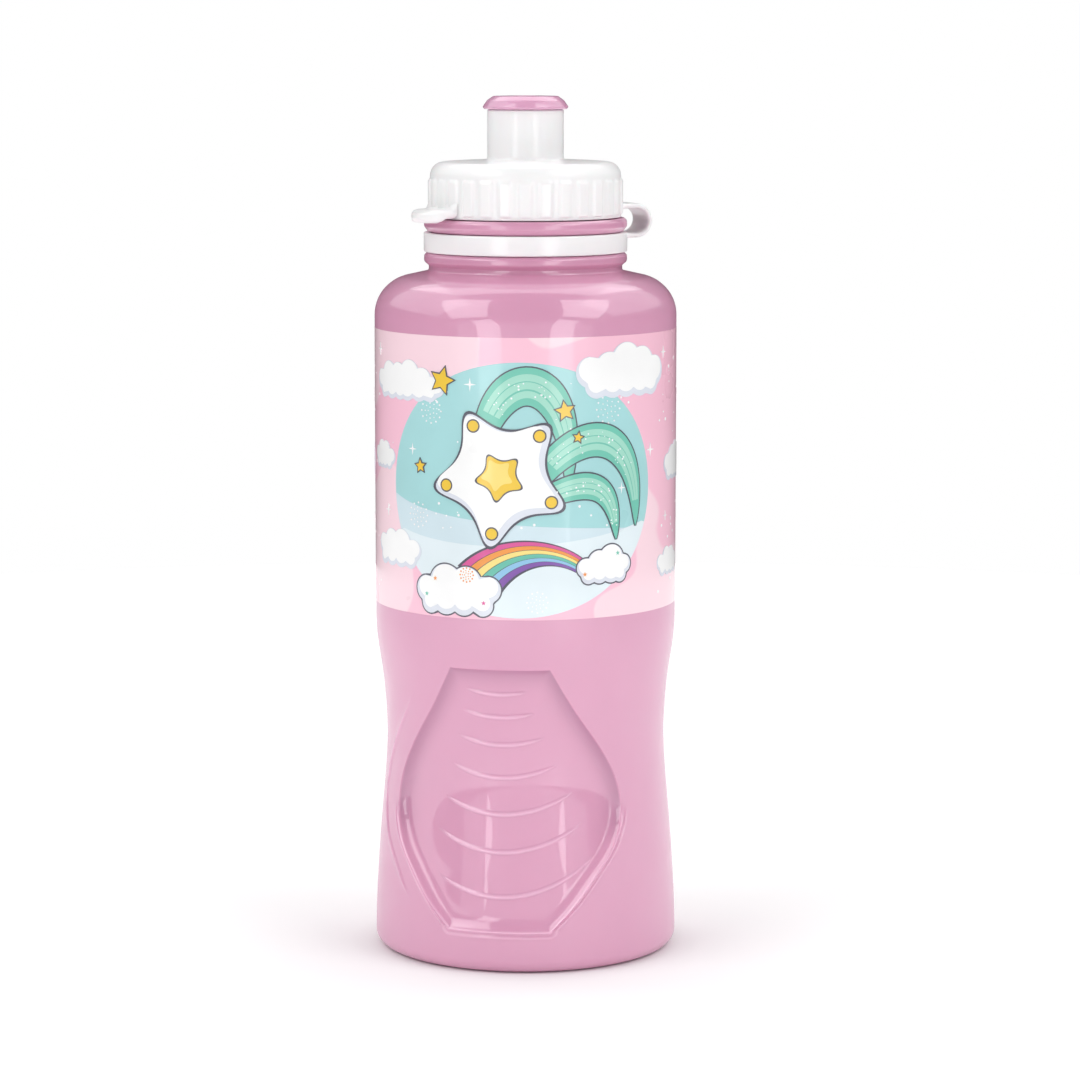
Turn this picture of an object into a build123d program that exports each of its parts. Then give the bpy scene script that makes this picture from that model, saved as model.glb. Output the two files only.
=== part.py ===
from build123d import *
import os
from math import asin, cos, degrees, radians, sin

# Kids water bottle with a tethered screw cap and a push-pull mouthpiece.
# Millimetres, +Z up. The origin is the centre of the base, on the surface it stands on.
# The printed side faces -Y. An azimuth is measured from -Y towards +X, in degrees.

# ---- Driving dimensions -----------------------------------------------------------------

# Blow-moulded shell
BODY_R = 33.0            # upper cylinder
BASE_R = 33.3            # foot
WAIST_R = 30.65          # narrowest ring of the grip zone
WALL = 1.2
BASE_FILLET = 3.0
PUSH_UP = 4.0            # height of the domed underside
FOOT_INNER_R = 25.0      # where the dome meets the standing ring
WAIST_Z = 45.5
GRIP_TOP_Z = 73.5        # the waist curve ends here, in the upper cylinder
SHOULDER_Z = 139.5       # the cylinder ends and the shoulder arc starts
SHOULDER_R = 8.8
SHOULDER_ARC = 73        # degrees of arc before the straight run up to the neck

# Printed film, flush in a shallow step of the upper cylinder
LABEL_Z0 = 77.0
LABEL_Z1 = 137.0
LABEL_T = 0.15

# Neck: root, lower bead, groove for the tether ring, upper bead, threaded mouth
NECK_R = 21.1
NECK_Z = 149.2
BEAD_R = 22.1
LOWER_BEAD_Z0 = 150.5
LOWER_BEAD_Z1 = 153.2
GROOVE_R = 20.6
UPPER_BEAD_Z0 = 157.75
UPPER_BEAD_Z1 = 160.65
THREAD_ROOT_R = 18.2
NECK_BORE_R = 19.3
MOUTH_R = 16.7
RIM_Z = 170.2
RIM_CHAMFER = 0.5

# Screw thread, single start, right hand
PITCH = 4.0
THREAD_TURNS = 1.25
THREAD_DEPTH = 1.2
THREAD_Z = 162.6         # middle of the neck's thread where it starts
THREAD_FOOT_W = 2.0
THREAD_CREST_W = 0.9

# Grip panels, front and back
GRIP_AZIMUTH = -10.3
GRIP_PANEL_Z0 = 9.6
GRIP_PANEL_Z1 = 66.1
GRIP_CORE_Z = 78.0       # the floor surface is drawn up to here, past the panel's top
GRIP_RIB_R = 30.0        # radius of the thin arcs
GRIP_RIB_W = 0.7
GRIP_RIB_H = 0.4
# Each arc: height of its lowest point, half of its width
GRIP_RIBS = [(60.4, 7.0), (55.3, 8.4), (49.2, 10.1), (42.1, 12.2), (34.2, 14.5), (26.1, 16.4), (16.5, 16.8)]

# Screw cap
CAP_Z0 = 160.85
CAP_ROOF_Z = 172.8       # outer edge of the slightly domed roof
CAP_DOME = 0.4
CAP_R = 20.8
CAP_BORE_R = 19.7
CAP_CORNER_R = 3.0
CAP_CEILING_Z = 171.3
CAP_RIBS = 30
CAP_RIB_R = 21.25
CAP_RIB_D = 1.5          # radial depth, half of it sunk in the skirt
CAP_RIB_W = 2.8
CAP_RIB_Z0 = 161.6
CAP_RIB_Z1 = 169.2
TAB_AZIMUTH = -62.0
TAB_R = 26.4
TAB_T = 2.6
TAB_DROP = 0.9           # how far its outer end hangs below the skirt

# Spout tube on the cap, with the plug post on three spokes
TUBE_R = 8.3
TUBE_Z1 = 184.05
TUBE_FILLET = 0.7
TUBE_BORE_R = 7.3
TUBE_LIP_R = 7.05
TUBE_LIP_H = 1.8
POST_FOOT_R = 3.2
POST_TIP_R = 2.5
POST_Z0 = 169.9
POST_Z1 = 186.4
SPOKES = 3
SPOKE_W = 1.6
SPOKE_R = 9.5
SPOKE_H = 1.8

# Push-pull mouthpiece; it rises 6 mm before its bead meets the tube's lip
NOZZLE_TOP_Z = 187.0
NOZZLE_HEAD_R = 9.35
NOZZLE_HEAD_Z0 = 184.15
NOZZLE_FACE_R = 6.7
NOZZLE_HOLE_R = 2.6
NOZZLE_STEM_R = 6.9
NOZZLE_BORE_R = 5.6
NOZZLE_Z0 = 172.4
NOZZLE_BEAD_R = 7.2
NOZZLE_BEAD_Z1 = 175.85

# Sealing ring in the cap
LINER_R0 = 16.5
LINER_R1 = 19.3
LINER_T = 1.0
CLEARANCE = 0.05         # between faces that press together on the real bottle

# Tether: ring round the neck and the bent band up to the cap
RING_R0 = 20.85
RING_R1 = 22.2
RING_Z0 = 153.35
RING_Z1 = 157.6
STRAP_AZIMUTH = 110.0
STRAP_W = 10.0
STRAP_T = 1.15
STRAP_BEND_R = 3.2       # radius of the band's middle line round the bend
STRAP_BEND_X = 24.2      # distance of the bend's centre from the axis
STRAP_BEND_Z = 159.8
STRAP_CAP_GAP = 0.1      # the band stops just short of the cap's ribs

os.makedirs("parts", exist_ok=True)


def facing(azimuth):
    """Upright plane through the axis that looks outwards at this azimuth; its x runs to the right."""
    a = radians(azimuth)
    return Plane(origin=(0, 0, 0), x_dir=(cos(a), sin(a), 0), z_dir=(sin(a), -cos(a), 0))


def radial(azimuth):
    """Upright plane that holds the axis and this azimuth; its x runs outwards and its y runs up."""
    a = radians(azimuth)
    return Plane(origin=(0, 0, 0), x_dir=(sin(a), -cos(a), 0), z_dir=(-cos(a), -sin(a), 0))


def waist_points(inset):
    """Half section of the grip zone, from the foot up to the cylinder, moved in by inset."""
    return [
        (BASE_R - inset, BASE_FILLET),
        (32.5 - inset, 21.0),
        (WAIST_R - inset, WAIST_Z),
        (31.2 - inset, 58.0),
        (BODY_R - inset, GRIP_TOP_Z),
    ]


def grip_floor_points(inset):
    """Half section of the surface that forms the floor of a grip panel, moved in by inset."""
    return [
        (32.9 - inset, 0),
        (32.2 - inset, GRIP_PANEL_Z0),
        (29.7 - inset, 30.0),
        (WAIST_R - 1.7 - inset, WAIST_Z),
        (31.6 - inset, GRIP_PANEL_Z1),
        (32.9 - inset, GRIP_CORE_Z),
    ]


# ---- Grip panels: the pockets that are cut from the shell's outside and kept from its cavity ----

with BuildPart() as grip_core:
    with BuildSketch(Plane.XZ):
        with BuildLine():
            floor_line = Spline(*grip_floor_points(0))
            Polyline(floor_line @ 1, (0, GRIP_CORE_Z), (0, 0), floor_line @ 0)
        make_face()
    revolve(axis=Axis.Z)

with BuildPart() as grip_core_inner:
    with BuildSketch(Plane.XZ):
        with BuildLine():
            inner_floor_line = Spline(*grip_floor_points(WALL))
            Polyline(inner_floor_line @ 1, (0, GRIP_CORE_Z), (0, 0), inner_floor_line @ 0)
        make_face()
    revolve(axis=Axis.Z)


def grip_outline(grow):
    """Outline of a panel, seen square on: an upside-down drop with a flat top and a flat foot."""
    right_side = Spline(
        (10.9 + 0.8 * grow, GRIP_PANEL_Z1 + grow),
        (20.6 + grow, 48.0),
        (24.4 + grow, 33.5),
        (19.3 + grow, 20.3),
        (10.9 + 0.6 * grow, GRIP_PANEL_Z0 - grow),
    )
    Line(right_side @ 0, (0, GRIP_PANEL_Z1 + grow))
    Line(right_side @ 1, (0, GRIP_PANEL_Z0 - grow))
    mirror(about=Plane.YZ)


with BuildPart() as grip_pocket:
    with BuildSketch(facing(0)):
        with BuildLine():
            grip_outline(0)
        make_face()
    extrude(amount=BASE_R + 5)
    add(grip_core.part, mode=Mode.SUBTRACT)

with BuildPart() as grip_pocket_inner:
    with BuildSketch(facing(0)):
        with BuildLine():
            grip_outline(WALL)
        make_face()
    extrude(amount=BASE_R + 5)
    add(grip_core_inner.part, mode=Mode.SUBTRACT)

# Thin raised arcs on a panel's floor, a little proud of it and rooted in the wall behind
with BuildPart() as grip_ribs:
    with BuildSketch(Plane.XZ):
        with BuildLine():
            rib_root = Spline(*grip_floor_points(0.9 * WALL))
            rib_crest = Spline(*grip_floor_points(-GRIP_RIB_H))
            Line(rib_root @ 0, rib_crest @ 0)
            Line(rib_root @ 1, rib_crest @ 1)
        make_face()
    revolve(axis=Axis.Z)
    with BuildSketch(facing(0)):
        for rib_z, rib_half_w in GRIP_RIBS:
            rib_angle = degrees(asin(rib_half_w / GRIP_RIB_R))
            with BuildLine():
                rib_arc = CenterArc((0, rib_z + GRIP_RIB_R), GRIP_RIB_R, 270 - rib_angle, 2 * rib_angle)
            SlotArc(arc=rib_arc, height=GRIP_RIB_W)
    extrude(amount=BASE_R + 5, mode=Mode.INTERSECT)

# ---- Screw thread: one ridge round the neck, one round the inside of the cap ---------------


def ridge_section(direction):
    """Section of a thread ridge; direction is 1 for a ridge that points outwards, -1 for inwards."""
    root = -0.15 * direction
    crest = THREAD_DEPTH * direction
    Polyline(
        (root, -THREAD_FOOT_W / 2),
        (crest, -THREAD_CREST_W / 2),
        (crest, THREAD_CREST_W / 2),
        (root, THREAD_FOOT_W / 2),
        close=True,
    )


with BuildPart() as neck_thread:
    with BuildLine():
        neck_helix = Helix(PITCH, PITCH * THREAD_TURNS, THREAD_ROOT_R, center=(0, 0, THREAD_Z))
    with BuildSketch(Plane(origin=neck_helix @ 0, x_dir=(1, 0, 0), z_dir=neck_helix % 0)):
        with BuildLine():
            ridge_section(1)
        make_face()
    sweep(path=neck_helix, is_frenet=True)

with BuildPart() as cap_thread:
    with BuildLine():
        cap_helix = Helix(PITCH, PITCH * THREAD_TURNS, CAP_BORE_R, center=(0, 0, THREAD_Z))
    with BuildSketch(Plane(origin=cap_helix @ 0, x_dir=(1, 0, 0), z_dir=cap_helix % 0)):
        with BuildLine():
            ridge_section(-1)
        make_face()
    sweep(path=cap_helix, is_frenet=True)

# ---- Bottle body: blow-moulded shell ------------------------------------------------------

with BuildPart() as cavity:
    with BuildSketch(Plane.XZ):
        with BuildLine():
            dome = ThreePointArc(
                (0, PUSH_UP + WALL),
                (FOOT_INNER_R / 2, 0.8 * PUSH_UP + WALL),
                (FOOT_INNER_R, WALL),
            )
            foot = Line(dome @ 1, (BASE_R - BASE_FILLET, WALL))
            JernArc(start=foot @ 1, tangent=(1, 0), radius=BASE_FILLET - WALL, arc_size=90)
            waist = Spline(*waist_points(WALL), tangents=[(0, 1), (0, 1)])
            side = Line(waist @ 1, (BODY_R - WALL, SHOULDER_Z))
            shoulder = JernArc(
                start=side @ 1, tangent=(0, 1), radius=SHOULDER_R - WALL, arc_size=SHOULDER_ARC
            )
            Polyline(
                shoulder @ 1,
                (NECK_BORE_R, NECK_Z - 0.7),
                (NECK_BORE_R, LOWER_BEAD_Z1 + 2.4),
                (MOUTH_R, UPPER_BEAD_Z1 - 0.6),
                (MOUTH_R, RIM_Z),
                (0, RIM_Z),
                dome @ 0,
            )
        make_face()
    revolve(axis=Axis.Z)
    for azimuth in (GRIP_AZIMUTH, GRIP_AZIMUTH + 180):
        add(grip_pocket_inner.part, rotation=(0, 0, azimuth), mode=Mode.SUBTRACT)

with BuildPart() as bottle_body:
    with BuildSketch(Plane.XZ):
        with BuildLine():
            dome = ThreePointArc((0, PUSH_UP), (FOOT_INNER_R / 2, 0.8 * PUSH_UP), (FOOT_INNER_R, 0))
            foot = Line(dome @ 1, (BASE_R - BASE_FILLET, 0))
            JernArc(start=foot @ 1, tangent=(1, 0), radius=BASE_FILLET, arc_size=90)
            waist = Spline(*waist_points(0), tangents=[(0, 1), (0, 1)])
            side = Polyline(
                waist @ 1,
                (BODY_R, LABEL_Z0),
                (BODY_R - LABEL_T, LABEL_Z0),
                (BODY_R - LABEL_T, LABEL_Z1),
                (BODY_R, LABEL_Z1),
                (BODY_R, SHOULDER_Z),
            )
            shoulder = JernArc(start=side @ 1, tangent=(0, 1), radius=SHOULDER_R, arc_size=SHOULDER_ARC)
            root = Polyline(shoulder @ 1, (NECK_R, NECK_Z), (NECK_R, LOWER_BEAD_Z0))
            lower_bead = ThreePointArc(root @ 1, (BEAD_R, LOWER_BEAD_Z0 + 1.5), (BEAD_R - 0.6, LOWER_BEAD_Z1))
            groove = Polyline(
                lower_bead @ 1,
                (GROOVE_R, LOWER_BEAD_Z1),
                (GROOVE_R, UPPER_BEAD_Z0),
                (BEAD_R - 0.6, UPPER_BEAD_Z0),
            )
            upper_bead = ThreePointArc(groove @ 1, (BEAD_R, UPPER_BEAD_Z0 + 1.5), (BEAD_R - 0.5, UPPER_BEAD_Z1))
            Polyline(
                upper_bead @ 1,
                (THREAD_ROOT_R, UPPER_BEAD_Z1),
                (THREAD_ROOT_R, RIM_Z - RIM_CHAMFER),
                (THREAD_ROOT_R - RIM_CHAMFER, RIM_Z),
                (0, RIM_Z),
                dome @ 0,
            )
        make_face()
    revolve(axis=Axis.Z)
    for azimuth in (GRIP_AZIMUTH, GRIP_AZIMUTH + 180):
        add(grip_pocket.part, rotation=(0, 0, azimuth), mode=Mode.SUBTRACT)
        add(grip_ribs.part, rotation=(0, 0, azimuth))
    add(neck_thread.part)
    add(cavity.part, mode=Mode.SUBTRACT)

bottle_body.part.label = "bottle_body"
export_step(bottle_body.part, "parts/bottle_body.step")

# ---- Label: thin printed film round the upper cylinder -------------------------------------

with BuildPart() as label_sleeve:
    with BuildSketch(Plane.XY.offset(LABEL_Z0)):
        Circle(BODY_R)
        Circle(BODY_R - LABEL_T, mode=Mode.SUBTRACT)
    extrude(amount=LABEL_Z1 - LABEL_Z0)

label_sleeve.part.label = "label_sleeve"
export_step(label_sleeve.part, "parts/label_sleeve.step")

# ---- Screw cap: skirt and roof, grip ribs, thumb tab, spout tube, plug post, thread ---------

with BuildPart() as thumb_tab:
    tab_plane = Plane(
        origin=(0, 0, CAP_Z0 - TAB_DROP),
        x_dir=(sin(radians(TAB_AZIMUTH)), -cos(radians(TAB_AZIMUTH)), 0),
        z_dir=(0, 0, 1),
    )
    with BuildSketch(tab_plane) as tab_sketch:
        with BuildLine():
            tab_tip = ThreePointArc((TAB_R - 1.9, -4.4), (TAB_R, 0), (TAB_R - 1.9, 4.4))
            Polyline(tab_tip @ 1, (CAP_BORE_R + 0.3, 7.0), (CAP_BORE_R + 0.3, -7.0), tab_tip @ 0)
        make_face()
        fillet(tab_sketch.vertices().sort_by_distance((TAB_R, 0))[:2], radius=1.5)
    extrude(amount=TAB_T + TAB_DROP)
    chamfer(thumb_tab.edges().group_by(Axis.Z)[-1].sort_by(SortBy.LENGTH)[:-1], length=0.5)
    with BuildSketch(Plane.XY.offset(CAP_Z0 - TAB_DROP)):
        Circle(BEAD_R + 0.4)
    extrude(amount=TAB_DROP, mode=Mode.SUBTRACT)

with BuildPart() as screw_cap:
    with BuildSketch(Plane.XZ):
        with BuildLine():
            skirt = Line((CAP_R, CAP_Z0), (CAP_R, CAP_ROOF_Z - CAP_CORNER_R))
            corner = JernArc(start=skirt @ 1, tangent=(0, 1), radius=CAP_CORNER_R, arc_size=88)
            roof = Line(corner @ 1, (TUBE_R + TUBE_FILLET, CAP_ROOF_Z + CAP_DOME))
            tube_foot = JernArc(start=roof @ 1, tangent=(-1, 0), radius=-TUBE_FILLET, arc_size=90)
            Polyline(
                tube_foot @ 1,
                (TUBE_R, TUBE_Z1 - 0.3),
                (TUBE_R - 0.3, TUBE_Z1),
                (TUBE_LIP_R, TUBE_Z1),
                (TUBE_LIP_R, TUBE_Z1 - TUBE_LIP_H),
                (TUBE_BORE_R, TUBE_Z1 - TUBE_LIP_H - 0.3),
                (TUBE_BORE_R, CAP_CEILING_Z),
                (CAP_BORE_R, CAP_CEILING_Z),
                (CAP_BORE_R, CAP_Z0),
                skirt @ 0,
            )
        make_face()
    revolve(axis=Axis.Z)
    with BuildSketch(Plane.XY.offset(CAP_RIB_Z0)):
        with PolarLocations(CAP_RIB_R - CAP_RIB_D / 2, CAP_RIBS):
            RectangleRounded(CAP_RIB_D, CAP_RIB_W, 0.45)
    extrude(amount=CAP_RIB_Z1 - CAP_RIB_Z0)
    add(thumb_tab.part)
    with BuildSketch(Plane.XY.offset(POST_Z0)):
        with PolarLocations(SPOKE_R / 2, SPOKES):
            Rectangle(SPOKE_R, SPOKE_W)
    extrude(amount=SPOKE_H)
    with BuildSketch(Plane.XZ):
        with BuildLine():
            Polyline(
                (0, POST_Z0),
                (POST_FOOT_R, POST_Z0),
                (POST_FOOT_R, POST_Z0 + 6),
                (POST_TIP_R, POST_Z1 - 4),
                (POST_TIP_R, POST_Z1 - 0.4),
                (POST_TIP_R - 0.4, POST_Z1),
                (0, POST_Z1),
                close=True,
            )
        make_face()
    revolve(axis=Axis.Z)
    add(cap_thread.part, rotation=(0, 0, 180))

screw_cap.part.label = "screw_cap"
export_step(screw_cap.part, "parts/screw_cap.step")

# ---- Cap liner: soft sealing ring between the cap's ceiling and the bottle's rim ------------

with BuildPart() as cap_liner:
    with BuildSketch(Plane.XY.offset(CAP_CEILING_Z - CLEARANCE)):
        Circle(LINER_R1)
        Circle(LINER_R0, mode=Mode.SUBTRACT)
    extrude(amount=-LINER_T)

cap_liner.part.label = "cap_liner"
export_step(cap_liner.part, "parts/cap_liner.step")

# ---- Pull nozzle: flared mouthpiece with a stem that slides in the spout tube ----------------

with BuildPart() as pull_nozzle:
    with BuildSketch(Plane.XZ):
        with BuildLine():
            face = Line((NOZZLE_HOLE_R, NOZZLE_TOP_Z), (NOZZLE_FACE_R, NOZZLE_TOP_Z))
            bevel = ThreePointArc(face @ 1, (8.25, 186.1), (NOZZLE_HEAD_R, NOZZLE_HEAD_Z0 + 0.65))
            lip = ThreePointArc(bevel @ 1, (NOZZLE_HEAD_R - 0.1, NOZZLE_HEAD_Z0 + 0.25), (8.9, NOZZLE_HEAD_Z0))
            Polyline(
                lip @ 1,
                (NOZZLE_STEM_R, NOZZLE_HEAD_Z0),
                (NOZZLE_STEM_R, NOZZLE_BEAD_Z1),
                (NOZZLE_BEAD_R, NOZZLE_BEAD_Z1 - 0.4),
                (NOZZLE_BEAD_R, NOZZLE_Z0 + 0.8),
                (NOZZLE_STEM_R, NOZZLE_Z0),
                (NOZZLE_BORE_R, NOZZLE_Z0),
                (NOZZLE_BORE_R, NOZZLE_HEAD_Z0),
                (NOZZLE_HOLE_R, NOZZLE_HEAD_Z0 + 0.6),
                face @ 0,
            )
        make_face()
    revolve(axis=Axis.Z)

pull_nozzle.part.label = "pull_nozzle"
export_step(pull_nozzle.part, "parts/pull_nozzle.step")

# ---- Tether: neck ring that turns in the groove, and the bent band up to the cap ------------

with BuildPart() as neck_ring:
    with BuildSketch(Plane.XY.offset(RING_Z0)):
        Circle(RING_R1)
        Circle(RING_R0, mode=Mode.SUBTRACT)
    extrude(amount=RING_Z1 - RING_Z0)
    chamfer(neck_ring.edges().filter_by(GeomType.CIRCLE), length=0.25)

neck_ring.part.label = "neck_ring"
export_step(neck_ring.part, "parts/neck_ring.step")

with BuildPart() as tether_strap:
    with BuildSketch(radial(STRAP_AZIMUTH)):
        with BuildLine():
            lower_arm = Line(
                (RING_R0, STRAP_BEND_Z - STRAP_BEND_R),
                (STRAP_BEND_X, STRAP_BEND_Z - STRAP_BEND_R),
            )
            bend = JernArc(start=lower_arm @ 1, tangent=(1, 0), radius=STRAP_BEND_R, arc_size=180)
            Line(bend @ 1, (CAP_R, STRAP_BEND_Z + STRAP_BEND_R))
        trace(line_width=STRAP_T)
    extrude(amount=STRAP_W / 2, both=True)
    with BuildSketch(Plane.XY.offset(RING_Z0)):
        Circle(RING_R1)
    extrude(amount=STRAP_BEND_Z - RING_Z0, mode=Mode.SUBTRACT)
    with BuildSketch(Plane.XY.offset(STRAP_BEND_Z)):
        Circle(CAP_RIB_R + STRAP_CAP_GAP)
    extrude(amount=2 * STRAP_BEND_R, mode=Mode.SUBTRACT)

tether_strap.part.label = "tether_strap"
export_step(tether_strap.part, "parts/tether_strap.step")

print("Volume to the rim, ml:", round(cavity.part.volume / 1000, 1))
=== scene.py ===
"""Kids water bottle: the looks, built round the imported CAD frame. Metres, +Z up, printed side at -Y."""
import bmesh
import bpy
import math
import random
from mathutils import Matrix, Vector
from mathutils.geometry import tessellate_polygon


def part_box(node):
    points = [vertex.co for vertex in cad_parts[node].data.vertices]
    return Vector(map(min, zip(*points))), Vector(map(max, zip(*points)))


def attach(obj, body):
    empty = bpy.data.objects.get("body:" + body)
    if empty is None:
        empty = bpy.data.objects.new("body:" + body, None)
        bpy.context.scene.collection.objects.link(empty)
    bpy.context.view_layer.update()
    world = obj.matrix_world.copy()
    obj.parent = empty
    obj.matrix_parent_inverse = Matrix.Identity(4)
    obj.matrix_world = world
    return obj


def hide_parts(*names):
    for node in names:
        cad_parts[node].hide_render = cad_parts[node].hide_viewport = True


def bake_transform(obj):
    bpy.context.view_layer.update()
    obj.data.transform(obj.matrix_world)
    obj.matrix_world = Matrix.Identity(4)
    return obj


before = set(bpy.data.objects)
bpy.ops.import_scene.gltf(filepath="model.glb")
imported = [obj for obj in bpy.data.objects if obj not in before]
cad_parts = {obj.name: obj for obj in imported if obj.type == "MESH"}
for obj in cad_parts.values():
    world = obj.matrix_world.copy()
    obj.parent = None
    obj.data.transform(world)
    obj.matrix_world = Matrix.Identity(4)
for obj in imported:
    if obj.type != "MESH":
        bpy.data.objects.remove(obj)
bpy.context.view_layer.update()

MM = 0.001
TAU = 2 * math.pi

# ---- Sizes, in millimetres, taken from the frame where it holds them -----------------------------


def cad(node):
    """Lowest and highest corners of a CAD node, in millimetres."""
    low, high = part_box(node)
    return [c / MM for c in low], [c / MM for c in high]


def outer_radius(node):
    low, high = cad(node)
    return (high[0] - low[0]) / 2


BASE_R = outer_radius("bottle_body")
BODY_R = outer_radius("label_sleeve")
RIM_Z = cad("bottle_body")[1][2]
LABEL_Z0, LABEL_Z1 = cad("label_sleeve")[0][2], cad("label_sleeve")[1][2]
RING_R = outer_radius("neck_ring")
RING_Z0, RING_Z1 = cad("neck_ring")[0][2], cad("neck_ring")[1][2]
CAP_Z0 = cad("screw_cap")[0][2] + 0.9
NOZZLE_R = outer_radius("pull_nozzle")
NOZZLE_Z0, NOZZLE_Z1 = cad("pull_nozzle")[0][2], cad("pull_nozzle")[1][2]
LINER_R = outer_radius("cap_liner")
LINER_Z0, LINER_Z1 = cad("cap_liner")[0][2], cad("cap_liner")[1][2]
STRAP_Z0, STRAP_Z1 = cad("tether_strap")[0][2], cad("tether_strap")[1][2]

WALL = 1.2
FILM_T = 0.15
GRIP_AZIMUTH = -10.3

# ---- Small helpers -------------------------------------------------------------------------------


def smooth(t):
    t = min(max(t, 0.0), 1.0)
    return t * t * (3 - 2 * t)


def spread(low, high, count):
    """Evenly spaced values from low to high, both ends included."""
    return [low + (high - low) * i / (count - 1) for i in range(count)]


def curve_through(points, level_ends=False):
    """Smooth function through (x, y) points in rising x."""
    ends = [0.0, 0.0]
    if not level_ends:
        ends = [(b[1] - a[1]) / (b[0] - a[0]) for a, b in (points[:2], points[-2:])]
    slopes = [ends[0]]
    for (x0, y0), (_, _), (x2, y2) in zip(points, points[1:], points[2:]):
        slopes.append((y2 - y0) / (x2 - x0))
    slopes.append(ends[1])

    def value(x):
        x = min(max(x, points[0][0]), points[-1][0])
        i = 0
        while x > points[i + 1][0]:
            i += 1
        (x0, y0), (x1, y1) = points[i], points[i + 1]
        h = x1 - x0
        t = (x - x0) / h
        rise = t * t * (3 - 2 * t)
        return (
            y0 * (1 - rise) + y1 * rise
            + slopes[i] * h * (t ** 3 - 2 * t * t + t) + slopes[i + 1] * h * (t ** 3 - t * t)
        )

    return value


def rounded(corners, steps=5):
    """Polyline through (x, y, radius) corners, each one rounded by an arc of that radius."""
    out = []
    for i, (x, y, radius) in enumerate(corners):
        if radius == 0 or i in (0, len(corners) - 1):
            out.append((x, y))
            continue
        here = Vector((x, y))
        back = Vector(corners[i - 1][:2]) - here
        ahead = Vector(corners[i + 1][:2]) - here
        half_turn = back.angle(ahead) / 2
        reach = min(radius / math.tan(half_turn), 0.49 * back.length, 0.49 * ahead.length)
        start = here + back.normalized() * reach
        end = here + ahead.normalized() * reach
        for k in range(steps + 1):
            t = k / steps
            p = start * (1 - t) ** 2 + here * 2 * t * (1 - t) + end * t * t
            out.append((p.x, p.y))
    return out


def make_object(name, verts, faces, material, body, sharp=35, painted_light_tones=None):
    """A mesh object from vertices in millimetres, shaded smooth except at sharp edges.

    The values per vertex that the material reads, one list per attribute, are amounts of painted shade
    and painted highlight; a body of None leaves the piece to a blend.
    """
    mesh = bpy.data.meshes.new(name)
    mesh.from_pydata([(x * MM, y * MM, z * MM) for x, y, z in verts], [], faces)
    for attribute, values in (painted_light_tones or {}).items():
        mesh.attributes.new(attribute, "FLOAT", "POINT").data.foreach_set("value", values)
    mesh.validate()
    mesh.polygons.foreach_set("use_smooth", [True] * len(mesh.polygons))
    mesh.set_sharp_from_angle(angle=math.radians(sharp))
    obj = bpy.data.objects.new(name, mesh)
    bpy.context.scene.collection.objects.link(obj)
    mesh.materials.append(material)
    if body:
        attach(obj, body)
    return obj


def rings_to_mesh(rings, closed_profile):
    """Faces for rings of equal length, each closed round; the last ring joins the first if asked."""
    count = len(rings[0])
    verts = [p for ring in rings for p in ring]
    faces = []
    last = len(rings) if closed_profile else len(rings) - 1
    for i in range(last):
        a, b = i * count, ((i + 1) % len(rings)) * count
        for k in range(count):
            n = (k + 1) % count
            faces.append((a + k, a + n, b + n, b + k))
    return verts, faces


def capped(stations, first=0):
    """Mesh over open-ended stations with both ends closed; first is the number of its first vertex."""
    verts, faces = rings_to_mesh(stations, False)
    n = len(stations[0])
    faces += [tuple(reversed(range(n))), tuple(range(len(verts) - n, len(verts)))]
    return verts, [tuple(i + first for i in face) for face in faces]


def at(radius, azimuth, z):
    """Point at an azimuth in degrees, measured from -Y towards +X."""
    a = math.radians(azimuth)
    return (radius * math.sin(a), -radius * math.cos(a), z)


def lathe(name, profile, material, body, segments=192, shape=None, sharp=35):
    """Turned shape from a closed (r, z) profile; shape(r, azimuth, z) may change the radius."""
    rings = []
    for r, z in profile:
        ring = []
        for k in range(segments):
            azimuth = 360 * k / segments
            ring.append(at(shape(r, azimuth, z) if shape else r, azimuth, z))
        rings.append(ring)
    verts, faces = rings_to_mesh(rings, True)
    return make_object(name, verts, faces, material, body, sharp)


def swept(name, stations, material, body, sharp=50):
    """Skin over a list of sections, each a closed loop of points, with flat ends."""
    verts, faces = capped(stations)
    return make_object(name, verts, faces, material, body, sharp)


# ---- Camera --------------------------------------------------------------------------------------

CAMERA_DISTANCE = 0.808
CAMERA_HEIGHT = 0.199
CAMERA_PITCH = 7.7
CAMERA_LENS = 123.3
CAMERA_SHIFT_X = 0.0134

camera_data = bpy.data.cameras.new("camera")
camera_data.sensor_width = 36
camera_data.lens = CAMERA_LENS
camera_data.shift_x = CAMERA_SHIFT_X
camera_data.clip_start = 0.05
camera = bpy.data.objects.new("camera", camera_data)
camera.location = (0, -CAMERA_DISTANCE, CAMERA_HEIGHT)
camera.rotation_euler = (math.radians(90 - CAMERA_PITCH), 0, 0)
bpy.context.scene.collection.objects.link(camera)
bpy.context.scene.camera = camera

# ---- Materials -----------------------------------------------------------------------------------


def linear(r, g, b):
    """sRGB 0-255 to linear."""
    out = []
    for c in (r, g, b):
        c /= 255
        out.append(c / 12.92 if c <= 0.04045 else ((c + 0.055) / 1.055) ** 2.4)
    return (*out, 1.0)


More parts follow.
